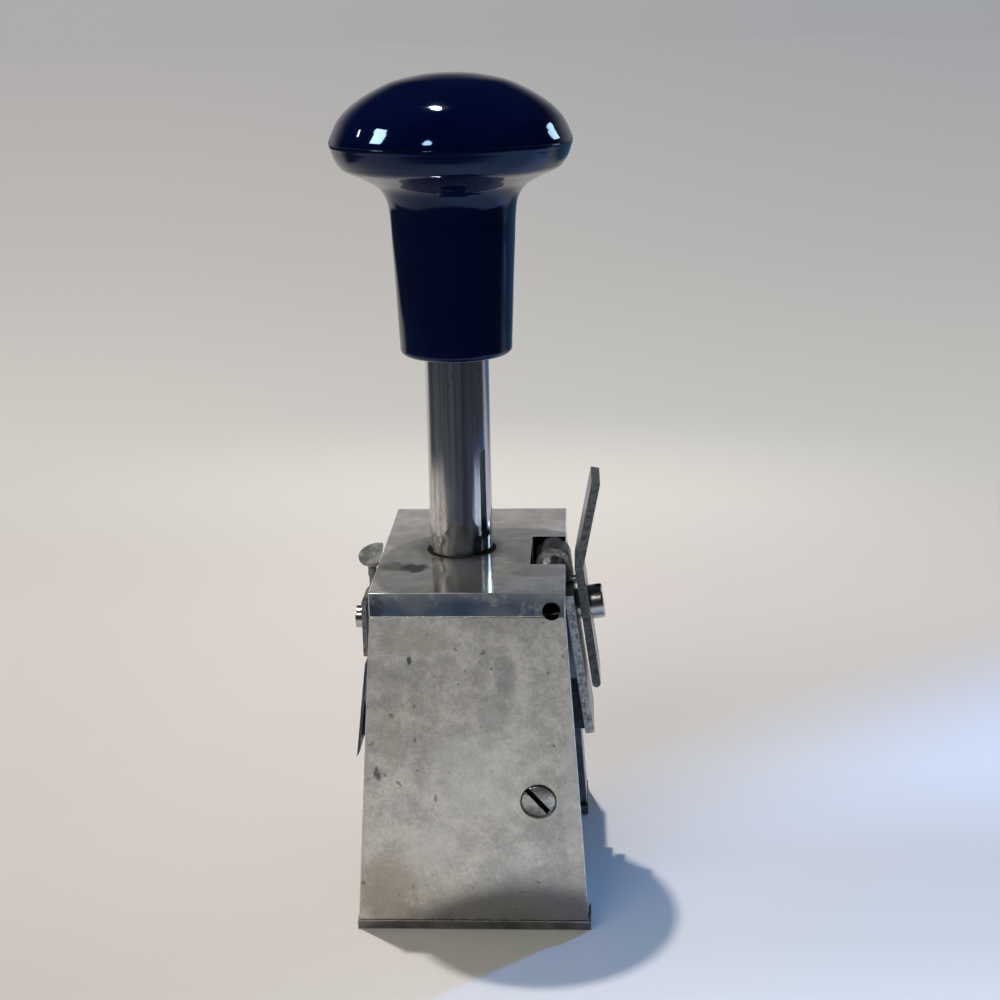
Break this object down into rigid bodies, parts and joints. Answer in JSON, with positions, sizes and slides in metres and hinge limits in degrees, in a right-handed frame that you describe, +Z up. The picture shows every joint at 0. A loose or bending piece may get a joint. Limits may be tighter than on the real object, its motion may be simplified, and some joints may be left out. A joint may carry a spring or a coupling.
{
  "type": "numbering machine",
  "caption": "Hand numbering machine: a round knob on a chrome stem pushes number wheels down through an open nickel frame while the ink pad swings aside; rocking levers at both sides.",
  "frame": {"origin": "centre of the print window, on the plane that the base rests on", "axes": "+Z up along the stem, +X to the machine's right as seen from the front plate, +Y to the rear"},
  "size_m": [0.0535, 0.0626, 0.1668],
  "materials": {
    "frame_nickel": "nickel plated, ground, worn and stained",
    "base_steel": "sheet steel, dull nickel",
    "cheek_steel": "pressed steel sheet, dull nickel",
    "screw_steel": "turned screws, nickel plated",
    "pin_steel": "ground steel pins and rods",
    "spring_steel": "drawn spring wire and leaf, oiled",
    "stem_chrome": "polished chrome plate",
    "knob_black": "moulded plastic, near black with a blue cast, high gloss",
    "buffer_rubber": "firm rubber",
    "wheel_steel": "cut steel with ink in the recesses",
    "pad_felt": "felt soaked with black ink",
    "lever_steel": "dark grey steel plate with sheared edges",
    "lug_steel": "blackened steel",
    "thumb_nickel": "nickel plated disc, worn"
  },
  "bodies": {
    "frame": {"top_head": "frame_nickel", "front_plate": "frame_nickel", "rear_plate": "frame_nickel", "base_plate": "base_steel", "rear_leg_left": "frame_nickel", "rear_leg_right": "frame_nickel", "cheek_left": "cheek_steel", "cheek_right": "cheek_steel", "front_bracket": "frame_nickel", "front_screw": "screw_steel", "rear_screws": "screw_steel", "base_screws": "screw_steel", "guide_rods": "pin_steel", "return_spring_left": "spring_steel", "return_spring_right": "spring_steel", "right_pivot_pin": "pin_steel", "lever_spring": "spring_steel", "left_bracket": "frame_nickel", "left_pivot_pin": "pin_steel"},
    "carriage": {"knob": "knob_black", "knob_cap": "knob_black", "stem": "stem_chrome", "buffer_washer": "buffer_rubber", "carriage_bridge": "cheek_steel", "carriage_plate_left": "cheek_steel", "carriage_plate_right": "cheek_steel", "carriage_screws": "screw_steel", "wheel_axle": "pin_steel", "detent_rod": "pin_steel", "detent_springs": "spring_steel"},
    "pad_carrier": {"pad_arm_left": "cheek_steel", "pad_arm_right": "cheek_steel", "pad_tray": "cheek_steel", "ink_pad": "pad_felt", "cam_pins": "pin_steel"},
    "feed_frame": {"feed_arms": "cheek_steel", "feed_bar": "pin_steel", "feed_pawls": "wheel_steel"},
    "right_lever": {"right_strap": "lever_steel", "finger_lever": "lever_steel", "lever_washer": "screw_steel", "lever_screw": "screw_steel", "lever_dowel": "pin_steel", "lever_lug": "lug_steel"},
    "left_lever": {"left_arm": "lever_steel", "thumb_plate": "lever_steel", "thumb_disc": "thumb_nickel", "left_lever_screw": "screw_steel", "left_lever_block": "lug_steel"},
    "wheel_1": {"number_wheel_1": "wheel_steel"},
    "wheel_2": {"number_wheel_2": "wheel_steel"},
    "wheel_3": {"number_wheel_3": "wheel_steel"},
    "wheel_4": {"number_wheel_4": "wheel_steel"},
    "wheel_5": {"number_wheel_5": "wheel_steel"},
    "wheel_6": {"number_wheel_6": "wheel_steel"}
  },
  "joints": [
    {"name": "plunger_slide", "type": "slide", "parent": "frame", "child": "carriage", "axis": [0, 0, -1], "range_m": [0, 0.028], "stiffness_N_per_m": 420, "springref_m": -0.014, "deforming": ["return_spring_left", "return_spring_right"]},
    {"name": "pad_swing", "type": "hinge", "parent": "carriage", "child": "pad_carrier", "pos_m": [0, 0, 0.04], "axis": [1, 0, 0], "range_deg": [0, 100]},
    {"name": "feed_swing", "type": "hinge", "parent": "carriage", "child": "feed_frame", "pos_m": [0, 0, 0.04], "axis": [1, 0, 0], "range_deg": [0, 36]},
    {"name": "right_lever_rock", "type": "hinge", "parent": "frame", "child": "right_lever", "pos_m": [0.0163, 0, 0.06725], "axis": [0, -1, 0], "range_deg": [0, 10], "stiffness_Nm_per_rad": 0.12, "springref_deg": -14.32},
    {"name": "left_lever_rock", "type": "hinge", "parent": "frame", "child": "left_lever", "pos_m": [-0.0213, 0, 0.0591], "axis": [0, -1, 0], "range_deg": [0, 6], "stiffness_Nm_per_rad": 0.08, "springref_deg": -11.46},
    {"name": "wheel_1_turn", "type": "hinge", "parent": "carriage", "child": "wheel_1", "pos_m": [0, 0, 0.04], "axis": [1, 0, 0], "continuous": true},
    {"name": "wheel_2_turn", "type": "hinge", "parent": "carriage", "child": "wheel_2", "pos_m": [0, 0, 0.04], "axis": [1, 0, 0], "continuous": true},
    {"name": "wheel_3_turn", "type": "hinge", "parent": "carriage", "child": "wheel_3", "pos_m": [0, 0, 0.04], "axis": [1, 0, 0], "continuous": true},
    {"name": "wheel_4_turn", "type": "hinge", "parent": "carriage", "child": "wheel_4", "pos_m": [0, 0, 0.04], "axis": [1, 0, 0], "continuous": true},
    {"name": "wheel_5_turn", "type": "hinge", "parent": "carriage", "child": "wheel_5", "pos_m": [0, 0, 0.04], "axis": [1, 0, 0], "continuous": true},
    {"name": "wheel_6_turn", "type": "hinge", "parent": "carriage", "child": "wheel_6", "pos_m": [0, 0, 0.04], "axis": [1, 0, 0], "continuous": true}
  ],
  "couplings": [
    {"joint": "pad_swing", "follows": "plunger_slide", "rad_per_m": 62.333},
    {"joint": "feed_swing", "follows": "plunger_slide", "rad_per_m": 22.44}
  ]
}
